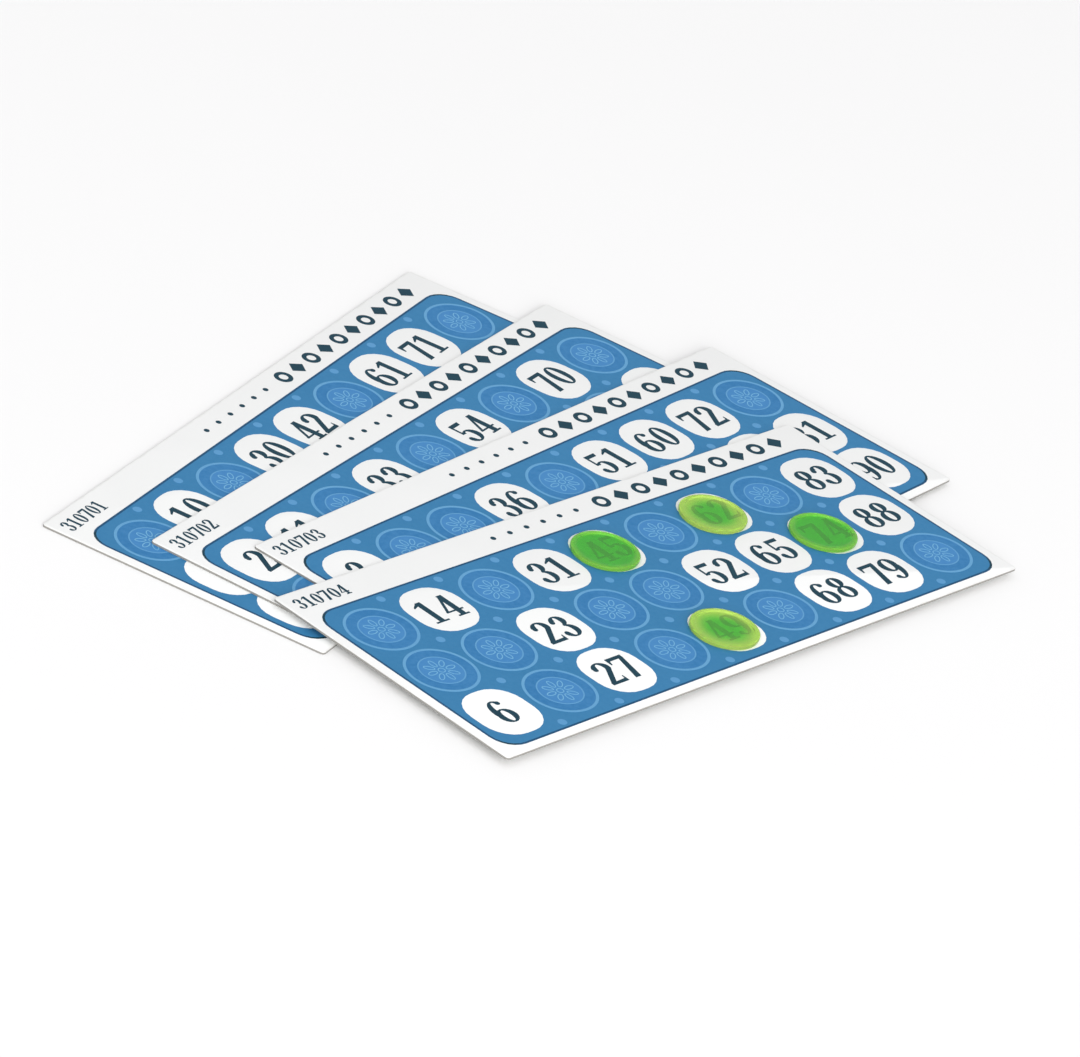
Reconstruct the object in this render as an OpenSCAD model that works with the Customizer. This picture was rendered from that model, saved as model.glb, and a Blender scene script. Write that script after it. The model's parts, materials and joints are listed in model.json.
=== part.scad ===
// A hand of printed bingo cards, fanned out flat, with see-through marker chips on the top card.
// Every card is a die-cut board that carries three prints. Millimetres, +Z up.
// The origin is the middle of the bottom card's underside, +X along that card, +Y to its header.

/* [Cells] */
// Pitch of the number cells, along and across a card
cell = 16; // [14:0.5:22]
// Blue left between two number patches along a card
patch_gap_x = 2; // [1:0.1:4]
// Blue left between two number patches across a card
patch_gap_y = 1; // [0.5:0.1:4]
// Corner radius of a number patch
patch_corner_r = 6; // [1:0.1:6.8]
// Height of the digits
digit_h = 7.4; // [4:0.1:9]

/* [Card] */
// Thickness of the board
board_t = 0.5; // [0.3:0.05:1.5]
// Corner radius of the board
board_corner_r = 0.8; // [0.2:0.1:3]
// White header strip along the far edge
header_w = 8; // [6:0.5:14]
// White margin along the near edge
near_margin = 2; // [1:0.1:6]
// White margin at each short end
end_margin = 2.3; // [1:0.1:6]
// Blue beyond the outer cells at the short ends
field_pad_x = 1; // [0.8:0.1:4]
// Blue beyond the outer cells along the long edges
field_pad_y = 2; // [1.6:0.1:5]
// Corner radius of the blue field
field_corner_r = 5; // [2:0.1:6]
// Dark line round the blue field
edge_line = 0.5; // [0.3:0.1:0.7]

/* [Prints] */
// Thickness of the blue and dark prints
ink_t = 0.03; // [0.02:0.01:0.1]
// Thickness of the pale print over the blue
pale_t = 0.02; // [0.02:0.01:0.1]
// Blue left between the outlines of two blank cells
ring_gap = 1.1; // [0.3:0.1:2]
// Line width of a blank cell's outline
ring_line = 0.6; // [0.2:0.05:0.8]
// Diameter of the rosette in a blank cell
rosette_d = 9; // [5:0.1:11]
// Line width of the rosette's rings
rosette_line = 0.35; // [0.15:0.05:0.5]
// Diameter of the dots between the cells
dot_d = 1.9; // [0.8:0.1:2.6]
// Height of the serial number in the header
serial_h = 3.4; // [2:0.1:5]
// Height of the marks in the header
mark_h = 4; // [2:0.1:5]
// Diameter of the small dots in the header
header_dot_d = 1.2; // [0.6:0.1:2]

/* [Chips] */
// Diameter of a chip
chip_d = 14; // [12:0.5:20]
// Thickness of a chip at its rim
chip_t = 1; // [0.8:0.1:3]
// Width of the raised rim
chip_rim = 1; // [0.8:0.1:3]
// Depth of the dish inside the rim
chip_dish = 0.2; // [0.1:0.05:0.4]
// Radius of the rounded edges
chip_edge_r = 0.3; // [0.1:0.05:0.35]

/* [Fan] */
// Air between a card or a chip and the print below it
rest_gap = 0.02; // [0.01:0.01:0.1]

/* [Hidden] */
CARDS = ["bottom_card", "lower_card", "upper_card", "top_card"];
LAYERS = ["board", "field_print", "ring_print", "number_print"];
// Numbers of each card from its header down, with 0 for a blank cell
NUMBERS = [
    [[0, 10, 0, 30, 42, 0, 61, 71, 0], [4, 0, 25, 0, 0, 53, 67, 0, 82], [9, 16, 0, 39, 0, 57, 0, 0, 86]],
    [[2, 11, 0, 33, 0, 54, 0, 70, 0], [0, 0, 22, 38, 41, 0, 63, 0, 85], [7, 19, 0, 0, 46, 59, 0, 77, 0]],
    [[3, 0, 0, 36, 0, 51, 60, 72, 0], [0, 12, 21, 0, 44, 0, 0, 75, 81], [8, 17, 0, 0, 0, 58, 66, 0, 90]],
    [[0, 14, 0, 31, 45, 0, 62, 0, 83], [0, 0, 23, 0, 0, 52, 65, 74, 88], [6, 0, 27, 0, 49, 0, 68, 79, 0]],
];
// Serial number in each card's header
SERIALS = [310701, 310702, 310703, 310704];
// Row and column of the cell that each chip covers on the top card
CHIP_CELLS = [[0, 4], [0, 6], [1, 7], [2, 4]];
$fn = 64;

rows = len(NUMBERS[0]);
columns = len(NUMBERS[0][0]);
patch_l = cell - patch_gap_x;
patch_w = cell - patch_gap_y;
ring_d = cell - ring_gap;
field_l = columns * cell + 2 * field_pad_x;
field_w = rows * cell + 2 * field_pad_y;
// The blue inside the field's dark line
blue_l = field_l - 2 * edge_line;
blue_w = field_w - 2 * edge_line;
blue_corner_r = field_corner_r - edge_line;
card_l = field_l + 2 * end_margin;
card_w = field_w + header_w + near_margin;
// The field's middle and the header's middle, measured across from the card's middle
field_y = (near_margin - header_w) / 2;
header_y = (card_w - header_w) / 2;
// Height from one card's underside to the next
stack_step = board_t + ink_t + pale_t + rest_gap;

// Middle of each card in the fan, as shares of a card's length and width, and its turn in degrees
fan_place_shares = [[0, 0], [0.053, -0.367], [0.107, -0.754], [-0.025, -1.062]];
fan_turns = [0, -3.5, -10.5, -16];
// How far each chip lies off the middle of its cell, as shares of the cell
chip_shift_shares = [[-0.075, -0.03], [-0.08, -0.04], [-0.07, -0.01], [-0.07, -0.015]];

// Header: the serial number, a run of small dots and a run of marks, as shares of the card's length
serial_place_share = -0.44;
header_dot_shares = [-0.12, 0.04];
header_dots = 6;
mark_shares = [0.09, 0.44];
marks = 10;
mark_hole_share = 0.5;
rosette_rings = 3;

// How much wider than drawn the digits are
digit_stretch = 1.18;
// Digits, as shares of the digit's height: stroke widths, spacing, ovals, bowls, bars and balls
thick_share = 0.19;
thin_share = 0.06;
digit_w_share = 0.5 * digit_stretch;
digit_gap_share = 0.09;
ball_share = 0.08;
digit_oval_shares = [
    [[0.25, 0.5, 0.25, 0.5]], [], [], [], [], [],
    [[0.25, 0.31, 0.25, 0.31]], [],
    [[0.25, 0.755, 0.215, 0.245], [0.25, 0.28, 0.25, 0.28]],
    [[0.25, 0.69, 0.25, 0.31]],
];
digit_bowl_shares = [
    [], [],
    [[0.25, 0.73, 0.25, 0.27]],
    [[0.24, 0.76, 0.22, 0.24], [0.25, 0.29, 0.25, 0.29]], [],
    [[0.25, 0.31, 0.25, 0.31]],
    [[0.27, 0.5, 0.27, 0.5]], [], [],
    [[0.23, 0.5, 0.27, 0.5]],
];
// Angles in degrees between which each bowl runs
digit_bowl_turns = [
    [], [],
    [[-20, 165]],
    [[-88, 165], [-165, 88]], [],
    [[-160, 138]],
    [[62, 190]], [], [],
    [[242, 370]],
];
digit_bar_shares = [
    [],
    [
        [[0.17, 0], [0.17, 1], [0.33, 1], [0.33, 0]],
        [[0.05, 0], [0.05, 0.06], [0.45, 0.06], [0.45, 0]],
        [[0.02, 0.79], [0.02, 0.84], [0.2, 1], [0.2, 0.87]],
    ],
    [
        [[0.49, 0.66], [0.335, 0.68], [0.02, 0.12], [0, 0.05], [0.17, 0.1]],
        [[0, 0], [0.5, 0], [0.5, 0.13], [0, 0.11]],
        [[0.44, 0.1], [0.5, 0.1], [0.5, 0.25], [0.47, 0.25]],
    ],
    [],
    [
        [[0.27, 0], [0.27, 1], [0.43, 1], [0.43, 0]],
        [[0, 0.27], [0.3, 1], [0.38, 1], [0.08, 0.27]],
        [[0, 0.24], [0, 0.3], [0.52, 0.3], [0.52, 0.24]],
        [[0.18, 0], [0.18, 0.06], [0.52, 0.06], [0.52, 0]],
    ],
    [[[0.13, 0.49], [0.13, 0.86], [0.42, 0.86], [0.45, 1], [0.07, 1], [0.07, 0.49]]],
    [],
    [[
        [0, 0.72], [0, 1], [0.5, 1], [0.5, 0.9], [0.31, 0],
        [0.14, 0], [0.36, 0.87], [0.08, 0.87], [0.035, 0.72],
    ]],
    [], [],
];
digit_ball_shares = [
    [], [],
    [[0.085, 0.75]],
    [[0.085, 0.775], [0.09, 0.235]], [],
    [[0.085, 0.235]],
    [[0.39, 0.86]], [], [],
    [[0.11, 0.14]],
];
oval_steps = 20;
bowl_steps = 14;
corner_steps = 6;

// Points along an elliptical arc from one angle to another, both ends included
function arc_points(middle, radii, from, to, steps) = [
    for (i = [0 : steps])
        let (a = from + (to - from) * i / steps)
        [middle[0] + radii[0] * cos(a), middle[1] + radii[1] * sin(a)]
];

// Points of a full oval, its first point not repeated
function oval_points(middle, radii) = arc_points(middle, radii, 360 / oval_steps, 360, oval_steps - 1);

// Points of a rectangle with round corners, about its own middle
function round_rect(l, w, corner_r) =
    let (r = min(corner_r, l / 2, w / 2))
    let (corners = [[1, 1], [-1, 1], [-1, -1], [1, -1]])
    [
        for (i = [0 : 3])
            let (middle = [corners[i][0] * (l / 2 - r), corners[i][1] * (w / 2 - r)])
            each arc_points(middle, [r, r], 90 * i, 90 * (i + 1), corner_steps)
    ];

// Middle of a cell, from the field's middle; row 0 lies next to the header
function cell_at(row, column) = [
    (column - (columns - 1) / 2) * cell,
    ((rows - 1) / 2 - row) * cell
];

// The cells of one card that carry a number, or that are blank
function cells_of(card, blank) = [
    for (row = [0 : rows - 1]) for (column = [0 : columns - 1])
        if ((NUMBERS[card][row][column] == 0) == blank) [row, column]
];

// A point or a pair of radii of a digit, from its shares of the digit's height
function drawn(x_share, y_share, h) = [x_share * digit_stretch, y_share] * h;

// One digit, its lower left corner at the origin
module digit(d, h) {
    for (o = digit_oval_shares[d]) {
        middle = drawn(o[0], o[1], h);
        radii = drawn(o[2], o[3], h);
        difference() {
            polygon(oval_points(middle, radii));
            polygon(oval_points(middle, radii - [thick_share, thin_share] * h));
        }
    }
    for (k = [0 : 1 : len(digit_bowl_shares[d]) - 1]) {
        b = digit_bowl_shares[d][k];
        turn = digit_bowl_turns[d][k];
        middle = drawn(b[0], b[1], h);
        outer = drawn(b[2], b[3], h);
        inner = outer - [thick_share, thin_share] * h;
        polygon(concat(
            arc_points(middle, outer, turn[0], turn[1], bowl_steps),
            arc_points(middle, inner, turn[1], turn[0], bowl_steps)
        ));
    }
    for (bar = digit_bar_shares[d]) polygon([for (p = bar) drawn(p[0], p[1], h)]);
    for (ball = digit_ball_shares[d]) translate(drawn(ball[0], ball[1], h)) circle(ball_share * h);
}

// A number about its own middle
module number(n, h) {
    figures = str(n);
    last = len(figures) - 1;
    pitch = (digit_w_share + digit_gap_share) * h;
    w = last * pitch + digit_w_share * h;
    for (k = [0 : last]) {
        translate([k * pitch - w / 2, -h / 2]) digit(ord(figures[k]) - ord("0"), h);
    }
}

// A flat ring by its outer diameter and its line width
module ring(d, line) {
    difference() {
        circle(d / 2);
        circle(d / 2 - line);
    }
}

// Puts a piece on its card in the fan
module on_card(card) {
    place = fan_place_shares[card];
    translate([place[0] * card_l, place[1] * card_w, card * stack_step]) rotate(fan_turns[card]) children();
}

// Die-cut white board
module board() {
    color("white") linear_extrude(board_t) polygon(round_rect(card_l, card_w, board_corner_r));
}

// Blue field with the board left bare in the number patches
module field_print(card) {
    color("steelblue") translate([0, field_y, board_t]) linear_extrude(ink_t) difference() {
        polygon(round_rect(blue_l, blue_w, blue_corner_r));
        for (c = cells_of(card, false)) {
            translate(cell_at(c[0], c[1])) polygon(round_rect(patch_l, patch_w, patch_corner_r));
        }
    }
}

// Pale rings and rosettes of the blank cells, and the dots between the cells
module ring_print(card) {
    color("lightskyblue") translate([0, field_y, board_t + ink_t]) linear_extrude(pale_t) {
        for (c = cells_of(card, true)) translate(cell_at(c[0], c[1])) {
            ring(ring_d, ring_line);
            for (k = [1 : rosette_rings]) ring(rosette_d * k / rosette_rings, rosette_line);
        }
        for (row = [0 : rows]) for (column = [1 : columns - 1]) {
            translate(cell_at(row, column) + [-cell, cell] / 2) circle(dot_d / 2);
        }
    }
}

// Dark print: the numbers, the line round the field and the header's marks
module number_print(card) {
    mark_pitch = (mark_shares[1] - mark_shares[0]) * card_l / (marks - 1);
    dot_pitch = (header_dot_shares[1] - header_dot_shares[0]) * card_l / (header_dots - 1);
    color("midnightblue") translate([0, 0, board_t]) linear_extrude(ink_t) {
        translate([0, field_y]) {
            difference() {
                polygon(round_rect(field_l, field_w, field_corner_r));
                polygon(round_rect(blue_l, blue_w, blue_corner_r));
            }
            for (c = cells_of(card, false)) {
                translate(cell_at(c[0], c[1])) number(NUMBERS[card][c[0]][c[1]], digit_h);
            }
        }
        translate([serial_place_share * card_l, header_y]) number(SERIALS[card], serial_h);
        for (k = [0 : header_dots - 1]) {
            translate([header_dot_shares[0] * card_l + k * dot_pitch, header_y]) circle(header_dot_d / 2);
        }
        for (k = [0 : marks - 1]) translate([mark_shares[0] * card_l + k * mark_pitch, header_y]) {
            if (k % 2 == 0) ring(mark_h, mark_h * (1 - mark_hole_share) / 2);
            else circle(mark_h / 2, $fn = 4);
        }
    }
}

// Moulded chip with rounded edges and a shallow dish, resting on its cell
module chip(k) {
    at = cell_at(CHIP_CELLS[k][0], CHIP_CELLS[k][1]);
    shift = chip_shift_shares[k] * cell;
    r = chip_d / 2;
    e = chip_edge_r;
    profile = concat(
        [[0, 0]],
        arc_points([r - e, e], [e, e], -90, 0, corner_steps),
        arc_points([r - e, chip_t - e], [e, e], 0, 90, corner_steps),
        [[r - chip_rim, chip_t], [r - chip_rim - chip_dish, chip_t - chip_dish], [0, chip_t - chip_dish]]
    );
    color("limegreen", 0.8)
        translate([at[0] + shift[0], at[1] + shift[1] + field_y, board_t + ink_t + rest_gap])
        rotate_extrude() polygon(profile);
}

for (i = [0 : len(CARDS) - 1]) {
    on_card(i) board();
    on_card(i) field_print(i);
    on_card(i) ring_print(i);
    on_card(i) number_print(i);
}
for (k = [0 : len(CHIP_CELLS) - 1]) {
    on_card(len(CARDS) - 1) chip(k);
}
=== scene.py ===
# %% [markdown]
# # A hand of bingo cards, dressed in Blender
# Four printed cards lie in a fan, and four see-through chips mark numbers on the top card.
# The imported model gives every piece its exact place. This lesson models what the eye sees closer up:
# the pressed edges of the boards, the printed medallions and the moulded chips, and then the inks,
# the plastic and the light.

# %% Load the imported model
import json
import math

import bmesh
import bpy
from mathutils import Matrix, Vector


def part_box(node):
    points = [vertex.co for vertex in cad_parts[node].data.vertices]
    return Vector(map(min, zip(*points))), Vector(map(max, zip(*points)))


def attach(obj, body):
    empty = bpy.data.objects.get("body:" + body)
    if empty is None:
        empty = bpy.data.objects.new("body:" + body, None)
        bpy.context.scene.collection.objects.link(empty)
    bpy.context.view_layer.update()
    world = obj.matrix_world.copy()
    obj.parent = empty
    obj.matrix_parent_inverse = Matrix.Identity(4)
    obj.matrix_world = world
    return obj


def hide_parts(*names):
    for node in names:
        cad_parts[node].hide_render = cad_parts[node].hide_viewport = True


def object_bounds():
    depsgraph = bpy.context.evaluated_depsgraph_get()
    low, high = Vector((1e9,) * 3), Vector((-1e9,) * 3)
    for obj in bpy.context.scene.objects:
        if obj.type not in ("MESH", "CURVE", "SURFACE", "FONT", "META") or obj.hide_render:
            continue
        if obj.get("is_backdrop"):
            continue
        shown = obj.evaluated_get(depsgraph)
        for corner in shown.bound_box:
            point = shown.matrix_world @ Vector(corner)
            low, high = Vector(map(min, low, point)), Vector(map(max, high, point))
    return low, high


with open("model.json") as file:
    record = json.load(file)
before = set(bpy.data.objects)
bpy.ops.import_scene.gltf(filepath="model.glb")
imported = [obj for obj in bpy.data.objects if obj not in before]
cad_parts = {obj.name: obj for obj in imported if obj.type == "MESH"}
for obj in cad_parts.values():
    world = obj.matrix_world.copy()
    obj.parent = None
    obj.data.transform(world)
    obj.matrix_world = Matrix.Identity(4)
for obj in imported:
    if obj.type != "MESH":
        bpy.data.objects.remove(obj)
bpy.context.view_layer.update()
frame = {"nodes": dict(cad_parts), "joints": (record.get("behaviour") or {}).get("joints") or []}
MM = 0.001
# Points closer than this count as one place
SAME_PLACE = 0.001 * MM
CARDS = ("bottom_card", "lower_card", "upper_card", "top_card")
CHIPS = ("chip_1", "chip_2", "chip_3", "chip_4")

# %% [markdown]
# ## The camera
# The viewing angle was worked out from the grid of cells on all four cards: their centres fix
# a perspective. The camera stands to the left, looks down steeply enough to see the cells as ovals,
# and is tilted a little.
# A long lens from the same spot fills the frame with the fan and keeps the photograph's perspective.

# %% Camera at the photograph's angle
CAMERA_AZIMUTH = math.radians(-69.7)
CAMERA_ELEVATION = math.radians(28.4)
CAMERA_ROLL = math.radians(14.1)
CAMERA_DISTANCE = 1.36
CAMERA_AIM = Vector((-0.0016, -0.0393, 0.0015))
CAMERA_LENS = 233

back = Vector((
    math.sin(CAMERA_AZIMUTH) * math.cos(CAMERA_ELEVATION),
    -math.cos(CAMERA_AZIMUTH) * math.cos(CAMERA_ELEVATION),
    math.sin(CAMERA_ELEVATION),
))
level_right = Vector((math.cos(CAMERA_AZIMUTH), math.sin(CAMERA_AZIMUTH), 0))
level_up = back.cross(level_right)
right = level_right * math.cos(CAMERA_ROLL) + level_up * math.sin(CAMERA_ROLL)
up = back.cross(right)
turn = Matrix((right, up, back)).transposed().to_euler()
bpy.ops.object.camera_add(location=CAMERA_AIM + back * CAMERA_DISTANCE, rotation=turn)
camera = bpy.context.object
camera.data.lens = CAMERA_LENS
bpy.context.scene.camera = camera
print("camera at", camera.location, "with a lens of", CAMERA_LENS, "mm")

# %% [markdown]
# ## Where each card lies
# A card's box is centred on the card, so the box of its board gives its middle and its height.
# The slide of a card runs along its own short side, so the slide's direction gives the card's turn.

# %% Middle, height and turn of each card
card_turn = {"bottom_card": 0.0}
for joint in frame["joints"]:
    if joint["child"] in CARDS:
        card_turn[joint["child"]] = math.atan2(-joint["axis"][0], joint["axis"][1])
card_place = {}
for card in CARDS:
    low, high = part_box(card + "_board")
    card_place[card] = Vector(((low.x + high.x) / 2, (low.y + high.y) / 2, low.z))
    degrees = round(math.degrees(card_turn[card]), 2)
    print(card, "lies at", card_place[card], "turned", degrees, "degrees")

# %% [markdown]
# ## Small helpers for modelling
# An operator acts on all that is selected, so each step first selects its own piece alone.
# A finished piece keeps its place in its mesh, and its object stays at the origin.


# %% Helpers: select, edit, settle, copy and join
def only(piece):
    """Selects one piece and makes it the active one."""
    bpy.ops.object.select_all(action="DESELECT")
    piece.select_set(True)
    bpy.context.view_layer.objects.active = piece


def settle(piece):
    """Moves the piece's place, turn and scale into its mesh."""
    only(piece)
    bpy.ops.object.transform_apply(location=True, rotation=True, scale=True)


def open_mesh(piece, mode):
    """Goes into edit mode with nothing selected, to pick faces or edges."""
    only(piece)
    bpy.ops.object.mode_set(mode="EDIT")
    bpy.ops.mesh.select_mode(type=mode)
    bpy.ops.mesh.select_all(action="DESELECT")


def pick(piece, wanted, edges=False):
    """In edit mode, selects the faces, or the edges, that the test accepts."""
    mesh = bmesh.from_edit_mesh(piece.data)
    bpy.ops.mesh.select_all(action="DESELECT")
    for item in (mesh.edges if edges else mesh.faces):
        if wanted(item):
            item.select_set(True)
    bmesh.update_edit_mesh(piece.data)


def close_mesh():
    """Leaves edit mode."""
    bpy.ops.object.mode_set(mode="OBJECT")


def twin(piece, name, place, turn=0.0):
    """A copy with its own mesh, turned about the upright axis and set down at a place."""
    only(piece)
    bpy.ops.object.duplicate()
    copy = bpy.context.object
    copy.name = name
    copy.rotation_euler.z = turn
    copy.location = place
    settle(copy)
    return copy


def join(pieces, name):
    """Makes one object of several."""
    bpy.ops.object.select_all(action="DESELECT")
    for piece in pieces:
        piece.select_set(True)
    bpy.context.view_layer.objects.active = pieces[0]
    bpy.ops.object.join()
    joined = bpy.context.object
    joined.name = name
    return joined


def smooth(piece, degrees):
    """Smooth shading across edges flatter than this angle."""
    only(piece)
    bpy.ops.object.shade_smooth_by_angle(angle=math.radians(degrees))


# %% [markdown]
# ## The boards
# A real card is stamped out of coated board. The blade rolls the printed face over a little at the edge,
# and leaves the back edge nearly sharp. A plain box misses both, and the rolled edge catches the light.
# So a box gets round corners first, then a soft bevel above and a tight one below.

# %% One board, in its own frame
CARD_LONG = 150.6 * MM
CARD_SHORT = 62 * MM
BOARD_THICK = 0.5 * MM
BOARD_CORNER = 0.8 * MM
CORNER_STEPS = 6
ROLLED_EDGE = 0.12 * MM
ROLL_STEPS = 3
BACK_EDGE = 0.03 * MM
BOARD_SMOOTH_ANGLE = 35
# The edge between a face and the cut side bends by more than this
SHARP_BEND = math.radians(57)

bpy.ops.object.select_all(action="DESELECT")
bpy.ops.mesh.primitive_cube_add(
    size=1, location=(0, 0, BOARD_THICK / 2), scale=(CARD_LONG, CARD_SHORT, BOARD_THICK)
)
board = bpy.context.object
settle(board)


def is_upright(edge):
    """A test for edges that run straight up."""
    first, second = edge.verts
    return (first.co.xy - second.co.xy).length < SAME_PLACE


def is_rim_at(height):
    """A test for edges that lie at this height between the flat face and the cut side."""
    def test(edge):
        level = all(abs(vert.co.z - height) < SAME_PLACE for vert in edge.verts)
        return level and edge.calc_face_angle(0) > SHARP_BEND
    return test


open_mesh(board, "EDGE")
pick(board, is_upright, edges=True)
bpy.ops.mesh.bevel(offset=BOARD_CORNER, segments=CORNER_STEPS, affect="EDGES")
pick(board, is_rim_at(BOARD_THICK), edges=True)
bpy.ops.mesh.bevel(offset=ROLLED_EDGE, segments=ROLL_STEPS, affect="EDGES")
pick(board, is_rim_at(0), edges=True)
bpy.ops.mesh.bevel(offset=BACK_EDGE, segments=1, affect="EDGES")
close_mesh()
smooth(board, BOARD_SMOOTH_ANGLE)
print("board:", len(board.data.polygons), "faces")

# %% Four boards on their cards
boards = {}
for card in CARDS:
    boards[card] = twin(board, card + "_sheet", card_place[card], card_turn[card])
    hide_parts(card + "_board")
    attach(boards[card], card)
bpy.data.objects.remove(board)

# %% [markdown]
# ## The medallions of the blank cells
# A blank cell carries a printed medallion: a pale outline, a deep blue band, and a lighter disc with
# a rosette of fine petals. Printed lines are crisp at any distance, so they are modelled as thin bands
# that lie on the blue print, and not painted by a pattern.
# Each point also carries its tone of ink, which the finish turns into a colour.

# %% Helpers: flat artwork, its thickness of ink and its tone
# The top of the blue print above the card's underside, and the two heights of ink on it
PRINT_TOP = 0.53 * MM
TINT_THICK = 0.008 * MM
PALE_THICK = 0.02 * MM
# Tones of ink, from the deepest to the palest
DEEP, LIGHT, PALE = 0.0, 0.5, 1.0


def filled_oval(radii, sides):
    """A flat oval of one face about the origin."""
    bpy.ops.object.select_all(action="DESELECT")
    bpy.ops.mesh.primitive_circle_add(vertices=sides, radius=1, fill_type="NGON")
    piece = bpy.context.object
    piece.scale = (*radii, 1)
    settle(piece)
    return piece


def raise_print(piece, bottom, top):
    """Gives flat artwork its thickness of ink, between two heights above the blue print."""
    only(piece)
    bpy.ops.object.modifier_add(type="SOLIDIFY")
    layer = piece.modifiers[0]
    layer.thickness = top - bottom
    layer.offset = 1
    bpy.ops.object.modifier_apply(modifier=layer.name)
    piece.location.z = bottom
    settle(piece)


def mark(piece, name, value_at):
    """Writes a number on every point of a piece, worked out from the point's distance to the middle."""
    numbers = piece.data.attributes.new(name, "FLOAT", "POINT")
    for index, point in enumerate(piece.data.vertices):
        numbers.data[index].value = value_at(point.co.xy.length)


def printed_line(radii, line, bottom, tone, sides):
    """A band of one width round an oval: the oval is inset by the width, and its middle is taken out."""
    piece = filled_oval(radii, sides)
    open_mesh(piece, "FACE")
    bpy.ops.mesh.select_all(action="SELECT")
    bpy.ops.mesh.inset(thickness=line)
    bpy.ops.mesh.delete(type="FACE")
    close_mesh()
    raise_print(piece, bottom, PALE_THICK)
    mark(piece, "tone", lambda radius: tone)
    return piece


# %% The rosette: petals round a small ring, close together but never crossing
PETALS = 8
PETAL_RADII = (1.2 * MM, 0.62 * MM)
PETAL_DISTANCE = 2.4 * MM
PETAL_LINE = 0.2 * MM
PETAL_SIDES = 28
HEART_RADIUS = 0.8 * MM
HEART_SIDES = 24

petal = printed_line(PETAL_RADII, PETAL_LINE, TINT_THICK, PALE, PETAL_SIDES)
flower = [printed_line((HEART_RADIUS, HEART_RADIUS), PETAL_LINE, TINT_THICK, PALE, HEART_SIDES)]
for k in range(PETALS):
    angle = 2 * math.pi * k / PETALS
    place = (PETAL_DISTANCE * math.cos(angle), PETAL_DISTANCE * math.sin(angle), 0)
    flower.append(twin(petal, "turned_petal", place, angle))
bpy.data.objects.remove(petal)
rosette = join(flower, "rosette")
print("rosette:", len(rosette.data.polygons), "faces")

# %% One medallion and one small dot
OUTLINE_RADIUS = 7.45 * MM
OUTLINE_LINE = 0.6 * MM
OUTLINE_TONE = 0.8
OUTLINE_SIDES = 72
INNER_RADIUS = 4.7 * MM
INNER_LINE = 0.28 * MM
INNER_TONE = 0.75
INNER_SIDES = 64
DOT_RADIUS = 0.95 * MM
DOT_TONE = 0.7
DOT_SIDES = 24
TINT_RADIUS = OUTLINE_RADIUS - OUTLINE_LINE

tint = filled_oval((TINT_RADIUS, TINT_RADIUS), OUTLINE_SIDES)
open_mesh(tint, "FACE")
bpy.ops.mesh.select_all(action="SELECT")
bpy.ops.mesh.inset(thickness=TINT_RADIUS - INNER_RADIUS)
bpy.ops.mesh.inset(thickness=INNER_LINE)
close_mesh()
raise_print(tint, 0, TINT_THICK)
mark(tint, "tone", lambda radius: DEEP if radius > INNER_RADIUS - INNER_LINE / 2 else LIGHT)
outline = printed_line((OUTLINE_RADIUS, OUTLINE_RADIUS), OUTLINE_LINE, 0, OUTLINE_TONE, OUTLINE_SIDES)
inner = printed_line((INNER_RADIUS, INNER_RADIUS), INNER_LINE, TINT_THICK, INNER_TONE, INNER_SIDES)
medallion = join([tint, outline, inner, rosette], "medallion")
dot = filled_oval((DOT_RADIUS, DOT_RADIUS), DOT_SIDES)
raise_print(dot, 0, PALE_THICK)
mark(dot, "tone", lambda radius: DOT_TONE)
print("medallion:", len(medallion.data.polygons), "faces")

# %% Copies in the blank cells, and dots at the corners between cells
ROWS = 3
COLUMNS = 9
CELL = 16 * MM
FIELD_MIDDLE = -3 * MM
# Rows from the header down: o is a blank cell, # is a number
BLANKS = {
    "bottom_card": ("o#o##o##o", "#o#oo##o#", "##o#o#oo#"),
    "lower_card": ("##o#o#o#o", "oo###o#o#", "##oo##o#o"),
    "upper_card": ("#oo#o###o", "o##o#oo##", "##ooo##o#"),
    "top_card": ("o#o##o#o#", "oo#oo####", "#o#o#o##o"),
}


def on_field(row, column):
    """Middle of a cell on its card, on top of the blue print."""
    along = (column - (COLUMNS - 1) / 2) * CELL
    across = ((ROWS - 1) / 2 - row) * CELL + FIELD_MIDDLE
    return (along, across, PRINT_TOP)


rings = {}
for card in CARDS:
    marks = []
    for row, cells in enumerate(BLANKS[card]):
        for column, kind in enumerate(cells):
            if kind == "o":
                marks.append(twin(medallion, "mark", on_field(row, column)))
    for row in range(ROWS + 1):
        for column in range(COLUMNS - 1):
            marks.append(twin(dot, "mark", on_field(row - 0.5, column + 0.5)))
    flat = join(marks, "flat_print")
    rings[card] = twin(flat, card + "_medallions", card_place[card], card_turn[card])
    bpy.data.objects.remove(flat)
    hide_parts(card + "_ring_print")
    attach(rings[card], card)
    print(card, "has", len(rings[card].data.polygons), "faces of pale print")
bpy.data.objects.remove(medallion)
bpy.data.objects.remove(dot)

# %% [markdown]
# ## The chips
# A chip comes from a mould, so its edges are round and its top has a raised rim round a shallow dish.
# It starts as a cylinder. An inset makes the rim, a second inset with a depth sinks the dish,
# and bevels round the edges.

# %% One chip, modelled at the origin
CHIP_RADIUS = 7 * MM
CHIP_THICK = 1 * MM
CHIP_RIM = 1 * MM
CHIP_DISH = 0.2 * MM
CHIP_EDGE = 0.3 * MM
EDGE_STEPS = 6
DISH_ROUND = 0.3 * CHIP_DISH
DISH_STEPS = 3
CHIP_SIDES = 96
CHIP_SMOOTH_ANGLE = 40
# Rings of points across both faces, so that the tone can change from the middle to the edge
CHIP_RINGS = 3
CHIP_RING = 1.5 * MM
# What tells the faces and edges apart: the way a face looks, the distance to the middle, and the bend
FACES_UP = 0.9
ROUND_SIDE = CHIP_RADIUS - 0.01 * MM
INSIDE_RIM = CHIP_RADIUS - 0.9 * CHIP_RIM
DISH_BEND = math.radians(17)

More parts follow.
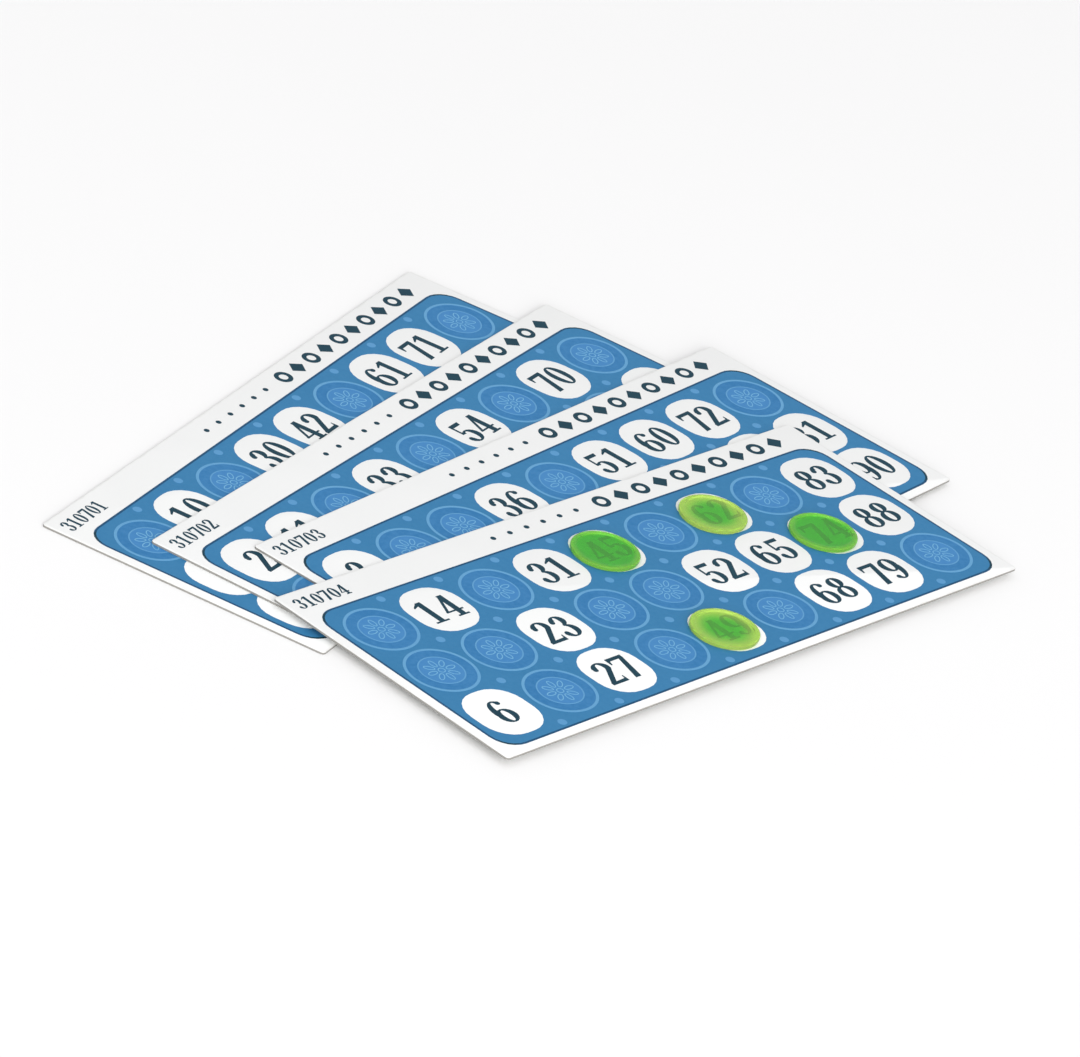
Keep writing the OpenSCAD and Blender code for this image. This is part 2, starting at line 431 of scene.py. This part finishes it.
bpy.ops.object.select_all(action="DESELECT")
bpy.ops.mesh.primitive_cylinder_add(
    vertices=CHIP_SIDES, radius=CHIP_RADIUS, depth=CHIP_THICK, location=(0, 0, CHIP_THICK / 2)
)
chip = bpy.context.object
settle(chip)
open_mesh(chip, "FACE")
pick(chip, lambda face: face.normal.z > FACES_UP)
bpy.ops.mesh.inset(thickness=CHIP_RIM)
bpy.ops.mesh.inset(thickness=CHIP_DISH, depth=-CHIP_DISH)
for _ in range(CHIP_RINGS):
    bpy.ops.mesh.inset(thickness=CHIP_RING)
pick(chip, lambda face: face.normal.z < -FACES_UP)
bpy.ops.mesh.inset(thickness=CHIP_RIM + CHIP_DISH)
for _ in range(CHIP_RINGS):
    bpy.ops.mesh.inset(thickness=CHIP_RING)
bpy.ops.mesh.select_mode(type="EDGE")


def is_chip_edge(edge):
    """A test for the edges between the round side and the two faces."""
    far = all(vert.co.xy.length > ROUND_SIDE for vert in edge.verts)
    return far and not is_upright(edge)


def is_dish_edge(edge):
    """A test for the level edges above and below the slope of the dish."""
    near = all(vert.co.xy.length < INSIDE_RIM for vert in edge.verts)
    first, second = edge.verts
    level = abs(first.co.z - second.co.z) < SAME_PLACE
    return near and level and edge.calc_face_angle(0) > DISH_BEND


pick(chip, is_chip_edge, edges=True)
bpy.ops.mesh.bevel(offset=CHIP_EDGE, segments=EDGE_STEPS, affect="EDGES")
pick(chip, is_dish_edge, edges=True)
bpy.ops.mesh.bevel(offset=DISH_ROUND, segments=DISH_STEPS, affect="EDGES")
close_mesh()
smooth(chip, CHIP_SMOOTH_ANGLE)
mark(chip, "rim", lambda radius: radius / CHIP_RADIUS)
print("chip:", len(chip.data.polygons), "faces")

# %% Four chips in their places
chips = {}
for name in CHIPS:
    low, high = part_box(name)
    middle = (low + high) / 2
    chips[name] = twin(chip, name + "_moulding", (middle.x, middle.y, low.z))
    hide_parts(name)
    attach(chips[name], name)
    print(name, "rests at", middle)
bpy.data.objects.remove(chip)

# %% [markdown]
# ## Shader sums
# A finish is a tree of nodes. One small class stands for a node's output, so that a sum is written
# as a sum. Its method make adds a node of any type, with its settings and what goes into its sockets.
# The other methods are short names for the nodes that are used most.

# %% Wire: one output in a node tree
# A Mix node holds the sockets of all its kinds in one row, and these are the places of those for colours
MIX_SHARE, MIX_FIRST, MIX_SECOND, MIX_RESULT = 0, 6, 7, 2


class Wire:
    """One output in a finish's node tree. Sums and products on it add Math nodes."""

    def __init__(self, tree, socket=None):
        self.tree = tree
        self.socket = socket

    def make(self, kind, settings=None, sockets=None, output=0):
        """Adds any node: its settings first, then a value or a wire for each socket."""
        node = self.tree.nodes.new(kind)
        for name, value in (settings or {}).items():
            setattr(node, name, value)
        for name, value in (sockets or {}).items():
            if isinstance(value, Wire):
                self.tree.links.new(value.socket, node.inputs[name])
            else:
                node.inputs[name].default_value = value
        return Wire(self.tree, node.outputs[output])

    def math(self, operation, *values):
        """One sum on wires or plain numbers."""
        return self.make("ShaderNodeMath", {"operation": operation}, dict(enumerate(values)))

    def __add__(self, other):
        return self.math("ADD", self, other)

    def __radd__(self, other):
        return self.math("ADD", other, self)

    def __sub__(self, other):
        return self.math("SUBTRACT", self, other)

    def __rsub__(self, other):
        return self.math("SUBTRACT", other, self)

    def __mul__(self, other):
        return self.math("MULTIPLY", self, other)

    def mixed(self, other, share):
        """A number between two wires, with this share of the second."""
        return self * (1 - share) + other * share

    def parts(self):
        """The three numbers of a place or a direction."""
        first = self.make("ShaderNodeSeparateXYZ", None, {"Vector": self})
        return [Wire(self.tree, socket) for socket in first.socket.node.outputs]

    def blend(self, first, second):
        """A colour between two, with this wire as the share of the second."""
        sockets = {MIX_SHARE: self, MIX_FIRST: first, MIX_SECOND: second}
        return self.make("ShaderNodeMix", {"data_type": "RGBA"}, sockets, MIX_RESULT)

    def ramp(self, low, high, smooth=True):
        """0 below low, 1 above high, and a ramp between them."""
        return self.make(
            "ShaderNodeMapRange",
            {"interpolation_type": "SMOOTHSTEP" if smooth else "LINEAR"},
            {"Value": self, "From Min": low, "From Max": high},
        )

    def noise(self, size, detail=2.0):
        """Cloudy values from 0 to 1 on this place, with clouds of about this size in metres."""
        return self.make(
            "ShaderNodeTexNoise", None, {"Vector": self, "Scale": 1 / size, "Detail": detail}
        )

    def bump(self, strength, depth):
        """A normal that follows this wire as a height, up to this depth in metres."""
        return self.make(
            "ShaderNodeBump", None, {"Strength": strength, "Distance": depth, "Height": self}
        )


def finish(name):
    """A new material: its shader node, and a wire to start from."""
    material = bpy.data.materials.new(name)
    material.use_nodes = True
    shader = material.node_tree.nodes["Principled BSDF"]
    return material, shader, Wire(material.node_tree)


def feed(shader, sockets):
    """Gives the shader's sockets their values or wires."""
    for name, value in sockets.items():
        if isinstance(value, Wire):
            value.tree.links.new(value.socket, shader.inputs[name])
        else:
            shader.inputs[name].default_value = value


def place_of(start, card=None):
    """The place on a piece, or the place on its card measured from the card's middle."""
    place = start.make("ShaderNodeTexCoord", output="Object")
    if card is None:
        return place
    sockets = {"Vector": place, "Location": card_place[card], "Rotation": (0, 0, card_turn[card])}
    return start.make("ShaderNodeMapping", {"vector_type": "TEXTURE"}, sockets)


def number_on(start, name):
    """The number that was written on the points under this name."""
    return start.make("ShaderNodeAttribute", {"attribute_name": name}, output="Fac")


def dress(piece, material):
    """Gives a piece one material all over."""
    piece.data.materials.clear()
    piece.data.materials.append(material)


# %% [markdown]
# ## White coated board
# The face is a clay coating: white, satin, faintly cloudy. The cut side shows the grey fibres
# of the core, painted darker still as painted shade: the thin dark line along the edges.
# The back is left plain, a little greyer and rougher than the face.
# Handling greys a thin, uneven line along the edges first.

# %% White board, one finish for each card
WHITE_DIM = (0.80, 0.81, 0.805, 1)
WHITE_BRIGHT = (0.86, 0.865, 0.86, 1)
HANDLED_GREY = (0.62, 0.615, 0.59, 1)
BACK_DIM = (0.6, 0.59, 0.56, 1)
BACK_BRIGHT = (0.75, 0.74, 0.71, 1)
# Grey of the core, painted darker than the fibres alone as painted shade along the edges
CORE_AND_SHADE_DIM = (0.16, 0.155, 0.145, 1)
CORE_AND_SHADE_BRIGHT = (0.34, 0.33, 0.31, 1)
# Sizes of the coating's clouds and grain, of smudges, and of fibres
CLOUD_SIZE = 14 * MM
GRAIN_SIZE = 0.35 * MM
SMUDGE_SIZE = 3 * MM
FIBRE_SIZE = 0.12 * MM
FIBRE_DETAIL = 4
# Shares in a mix of two patterns: grain in the white, clouds in the back, and clouds in the height
GRAIN_IN_WHITE = 0.3
CLOUD_IN_BACK = 0.4
CLOUD_IN_HEIGHT = 0.4
# Wear is full up to one distance from the edge and gone at the other, and smudges shift both
WORN_TO = 0.35 * MM
CLEAN_FROM = 0.95 * MM
SMUDGE_REACH = 0.9 * MM
MOST_WEAR = 0.5
# The upright part of a surface's direction tells the cut side, the face and the back apart
CUT_BELOW, FACE_ABOVE = 0.25, 0.8
BACK_FROM, BACK_FULL = 0.5, 0.9
# Roughness of the face, and what the grain, the cut side and the back add to it
FACE_ROUGH = 0.36
GRAIN_ROUGH = 0.1
CUT_ROUGH = 0.4
BACK_ROUGH = 0.3
BOARD_SHINE = 0.4
BOARD_BUMP = 0.12
GRAIN_DEPTH = 0.02 * MM


def board_finish(card):
    """Coated face, cut side and plain back of one card."""
    material, shader, start = finish("coated_board_of_" + card)
    place = place_of(start, card)
    along, across, _ = place.parts()
    from_end = CARD_LONG / 2 - along.math("ABSOLUTE", along)
    from_side = CARD_SHORT / 2 - across.math("ABSOLUTE", across)
    from_edge = from_end.math("MINIMUM", from_end, from_side)
    cloud = place.noise(CLOUD_SIZE)
    grain = place.noise(GRAIN_SIZE)
    smudge = place.noise(SMUDGE_SIZE)
    fibre = place.noise(FIBRE_SIZE, FIBRE_DETAIL)
    wear = 1 - (from_edge + smudge * SMUDGE_REACH).ramp(WORN_TO, CLEAN_FROM)
    upright = start.make("ShaderNodeNewGeometry", output="Normal").parts()[2]
    is_cut = 1 - upright.math("ABSOLUTE", upright).ramp(CUT_BELOW, FACE_ABOVE)
    is_back = (0 - upright).ramp(BACK_FROM, BACK_FULL)
    white = cloud.mixed(grain, GRAIN_IN_WHITE).blend(WHITE_DIM, WHITE_BRIGHT)
    handled = (wear * MOST_WEAR).blend(white, HANDLED_GREY)
    plain = fibre.mixed(cloud, CLOUD_IN_BACK).blend(BACK_DIM, BACK_BRIGHT)
    # The core's grey, darkened further as painted shade along the cut edges
    core_and_shade = fibre.blend(CORE_AND_SHADE_DIM, CORE_AND_SHADE_BRIGHT)
    feed(shader, {
        "Base Color": is_cut.blend(is_back.blend(handled, plain), core_and_shade),
        "Roughness": FACE_ROUGH + grain * GRAIN_ROUGH + is_cut * CUT_ROUGH + is_back * BACK_ROUGH,
        "Normal": grain.mixed(cloud, CLOUD_IN_HEIGHT).bump(BOARD_BUMP, GRAIN_DEPTH),
        "Specular IOR Level": BOARD_SHINE,
    })
    return material


for card in CARDS:
    dress(boards[card], board_finish(card))

# %% [markdown]
# ## Inks
# Offset ink lies thin and even on a coated board, with a faint mottle where the coating takes it up
# unevenly. The three prints share one recipe: a colour, thinned by the mottle, on a satin film that
# follows the board's grain.

# %% One recipe for all inks
FINE_MOTTLE_SIZE = 1.1 * MM
FINE_MOTTLE_DETAIL = 3
BROAD_MOTTLE_SIZE = 12 * MM
BROAD_IN_MOTTLE = 0.4
# The mottle begins to thin the ink at one value, and thins it most from the other on
THINS_FROM, THINS_MOST = 0.3, 0.7
MOST_THINNING = 0.35
FILM_GRAIN_SIZE = 0.3 * MM
FILM_ROUGH = 0.42
FILM_GRAIN_ROUGH = 0.12
FILM_SHINE = 0.12
FILM_BUMP = 0.06


def coat(shader, place, colour, thin):
    """Prints a colour: the mottle thins it towards a lighter one, and the film is satin and grained."""
    fine = place.noise(FINE_MOTTLE_SIZE, FINE_MOTTLE_DETAIL)
    mottle = fine.mixed(place.noise(BROAD_MOTTLE_SIZE), BROAD_IN_MOTTLE)
    grain = place.noise(FILM_GRAIN_SIZE)
    feed(shader, {
        "Base Color": (mottle.ramp(THINS_FROM, THINS_MOST) * MOST_THINNING).blend(colour, thin),
        "Roughness": FILM_ROUGH + grain * FILM_GRAIN_ROUGH,
        "Normal": grain.bump(FILM_BUMP, GRAIN_DEPTH),
        "Specular IOR Level": FILM_SHINE,
    })


# %% Blue ink of the field
FIELD_BLUE = (0.031, 0.173, 0.355, 1)
FIELD_THIN = (0.047, 0.212, 0.41, 1)

blue_ink, shader, start = finish("blue_ink")
coat(shader, place_of(start), FIELD_BLUE, FIELD_THIN)

# %% Blue tints of the medallions, from each point's tone
DEEP_BLUE = (0.025, 0.16, 0.368, 1)
LIGHT_BLUE = (0.046, 0.2, 0.45, 1)
PALE_BLUE = (0.165, 0.405, 0.605, 1)
TINT_THIN = (0.07, 0.25, 0.5, 1)

tint_ink, shader, start = finish("tint_ink")
tone = number_on(start, "tone")
lower_half = tone.ramp(DEEP, LIGHT, smooth=False).blend(DEEP_BLUE, LIGHT_BLUE)
full = tone.ramp(LIGHT, PALE, smooth=False).blend(lower_half, PALE_BLUE)
coat(shader, place_of(start), full, TINT_THIN)

# %% Dark ink, with a bluer line round the field
NUMBER_DARK = (0.005, 0.038, 0.062, 1)
LINE_BLUE = (0.007, 0.07, 0.17, 1)
DARK_THIN = (0.01, 0.06, 0.09, 1)
# The line begins this far from the field's middle, along and across, with a soft change of colour
LINE_ALONG = 72.4 * MM
LINE_ACROSS = 25.4 * MM
LINE_BLUR = 0.1 * MM
# The header begins this far from the card's middle
HEADER_FROM = 23.5 * MM
HEADER_FULL = 24 * MM


def dark_finish(card):
    """Dark ink of one card's numbers and header, and the bluer ink of the line round its field."""
    material, shader, start = finish("dark_ink_of_" + card)
    place = place_of(start, card)
    along, across, _ = place.parts()
    past_end = along.math("ABSOLUTE", along) - LINE_ALONG
    offset = across - FIELD_MIDDLE
    past_side = offset.math("ABSOLUTE", offset) - LINE_ACROSS
    is_line = past_end.math("MAXIMUM", past_end, past_side).ramp(-LINE_BLUR, LINE_BLUR)
    is_header = across.ramp(HEADER_FROM, HEADER_FULL)
    colour = (is_line * (1 - is_header)).blend(NUMBER_DARK, LINE_BLUE)
    coat(shader, place, colour, DARK_THIN)
    return material


for card in CARDS:
    dress(frame["nodes"][card + "_field_print"], blue_ink)
    dress(rings[card], tint_ink)
    dress(frame["nodes"][card + "_number_print"], dark_finish(card))

# %% [markdown]
# ## Green see-through plastic
# The chips are clear plastic with a green dye. Light goes through to the board and back, so the
# number shows through. The glow of light at the edge is painted into the colour, which turns yellower
# from the middle to the edge and is lightest on the round side. Two of the four chips are a slightly
# lighter green, with a wider painted glow.

# %% Two batches of green plastic, with a painted glow at the edge
# The edge and side colours are painted glow: light carried to the edge, put into the colour
GREEN_HEART = (0.1, 0.74, 0.045, 1)
GREEN_EDGE_PAINTED_GLOW = (0.33, 0.8, 0.1, 1)
GREEN_SIDE_PAINTED_GLOW = (0.5, 0.95, 0.15, 1)
LIME_HEART = (0.14, 0.77, 0.05, 1)
LIME_EDGE_PAINTED_GLOW = (0.64, 0.92, 0.18, 1)
LIME_SIDE_PAINTED_GLOW = (0.85, 1.0, 0.25, 1)
# The painted glow begins at one share of the radius and is full at the other
GREEN_PAINTED_GLOW_SPAN = (0.75, 0.98)
LIME_PAINTED_GLOW_SPAN = (0.4, 0.88)
# The round side begins at this share of the radius
SIDE_FROM = 1 - CHIP_EDGE / CHIP_RADIUS
# Swirls shift the painted glow inwards and outwards from their middle value
SWIRL_SIZE = 4 * MM
SWIRL_DETAIL = 3
SWIRL_MIDDLE = 0.5
SWIRL_REACH = 0.2
# Scuffs dull the gloss
SCUFF_SIZE = 0.5 * MM
SCUFF_DETAIL = 4
SCUFFS_FROM, SCUFFS_FULL = 0.45, 0.8
GLOSS_ROUGH = 0.04
SCUFF_ROUGH = 0.1
CLEARNESS = 0.75
LIGHT_BENDING = 1.38


def chip_finish(name, heart, edge, side, painted_glow_span):
    """Clear plastic with a painted glow: yellower towards the edge, and brightest at the round side."""
    material, shader, start = finish(name)
    place = place_of(start)
    swirl = place.noise(SWIRL_SIZE, SWIRL_DETAIL)
    scuff = place.noise(SCUFF_SIZE, SCUFF_DETAIL)
    rim = number_on(start, "rim")
    # Painted glow: the colour turns yellower towards the edge and lightest on the round side
    painted_glow = (rim + (swirl - SWIRL_MIDDLE) * SWIRL_REACH).ramp(*painted_glow_span)
    side_glow_share = rim.ramp(SIDE_FROM, 1)
    feed(shader, {
        "Base Color": side_glow_share.blend(painted_glow.blend(heart, edge), side),
        "Roughness": GLOSS_ROUGH + scuff.ramp(SCUFFS_FROM, SCUFFS_FULL) * SCUFF_ROUGH,
        "Transmission Weight": CLEARNESS,
        "IOR": LIGHT_BENDING,
    })
    return material


green = chip_finish("green_plastic_with_painted_glow", GREEN_HEART, GREEN_EDGE_PAINTED_GLOW, GREEN_SIDE_PAINTED_GLOW, GREEN_PAINTED_GLOW_SPAN)
lime = chip_finish("lime_plastic_with_painted_glow", LIME_HEART, LIME_EDGE_PAINTED_GLOW, LIME_SIDE_PAINTED_GLOW, LIME_PAINTED_GLOW_SPAN)
for name, plastic in zip(CHIPS, (green, lime, green, lime)):
    dress(chips[name], plastic)

# %% [markdown]
# ## Floor and light
# The cards lie on a plain white table in soft light from above and from low on the camera's side.
# The low light reaches under the near edges, so that the only shadows are thin lines along them.
# It only fills shadows, so it is kept out of reflections: from behind it would glare on the satin face.

# %% Floor
TABLE_SIDE = 6
TABLE_CLOUD_SIZE = 0.2
TABLE_DIM = (0.82, 0.82, 0.82, 1)
TABLE_BRIGHT = (0.84, 0.84, 0.84, 1)
TABLE_ROUGH = 0.7
TABLE_SHINE = 0.2

bpy.ops.object.select_all(action="DESELECT")
bpy.ops.mesh.primitive_plane_add(size=TABLE_SIDE)
floor = bpy.context.object
floor.name = "floor"
material, shader, start = finish("white_table")
cloud = place_of(start).noise(TABLE_CLOUD_SIZE)
feed(shader, {
    "Base Color": cloud.blend(TABLE_DIM, TABLE_BRIGHT),
    "Roughness": TABLE_ROUGH,
    "Specular IOR Level": TABLE_SHINE,
})
dress(floor, material)
floor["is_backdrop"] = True

# %% Lights
KEY_PLACE = (-0.3, -0.3, 1.5)
KEY_WIDTH = 1.8
KEY_WATTS = 6
FILL_PLACE = (-3.9, -2.85, 1.5)
FILL_WIDTH = 4.8
FILL_WATTS = 380
ROOM_COLOUR = (0.975, 0.97, 0.975, 1)
ROOM_STRENGTH = 0.69


def soft_box(name, place, width, watts, mirrored):
    """A square area light that faces the middle of the fan, seen in reflections or not."""
    aim = CAMERA_AIM - Vector(place)
    bpy.ops.object.light_add(
        type="AREA", location=place, rotation=aim.to_track_quat("-Z", "Y").to_euler()
    )
    light = bpy.context.object
    light.name = name
    light.data.size = width
    light.data.energy = watts
    light.visible_glossy = mirrored


soft_box("key_light", KEY_PLACE, KEY_WIDTH, KEY_WATTS, mirrored=True)
soft_box("fill_light", FILL_PLACE, FILL_WIDTH, FILL_WATTS, mirrored=False)

world = bpy.data.worlds.new("pale_room")
bpy.context.scene.world = world
world.use_nodes = True
room = world.node_tree.nodes["Background"]
room.inputs["Color"].default_value = ROOM_COLOUR
room.inputs["Strength"].default_value = ROOM_STRENGTH
bpy.context.scene.view_settings.view_transform = "Standard"

# %% Sizes
low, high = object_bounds()
print("visual box from", low, "to", high)
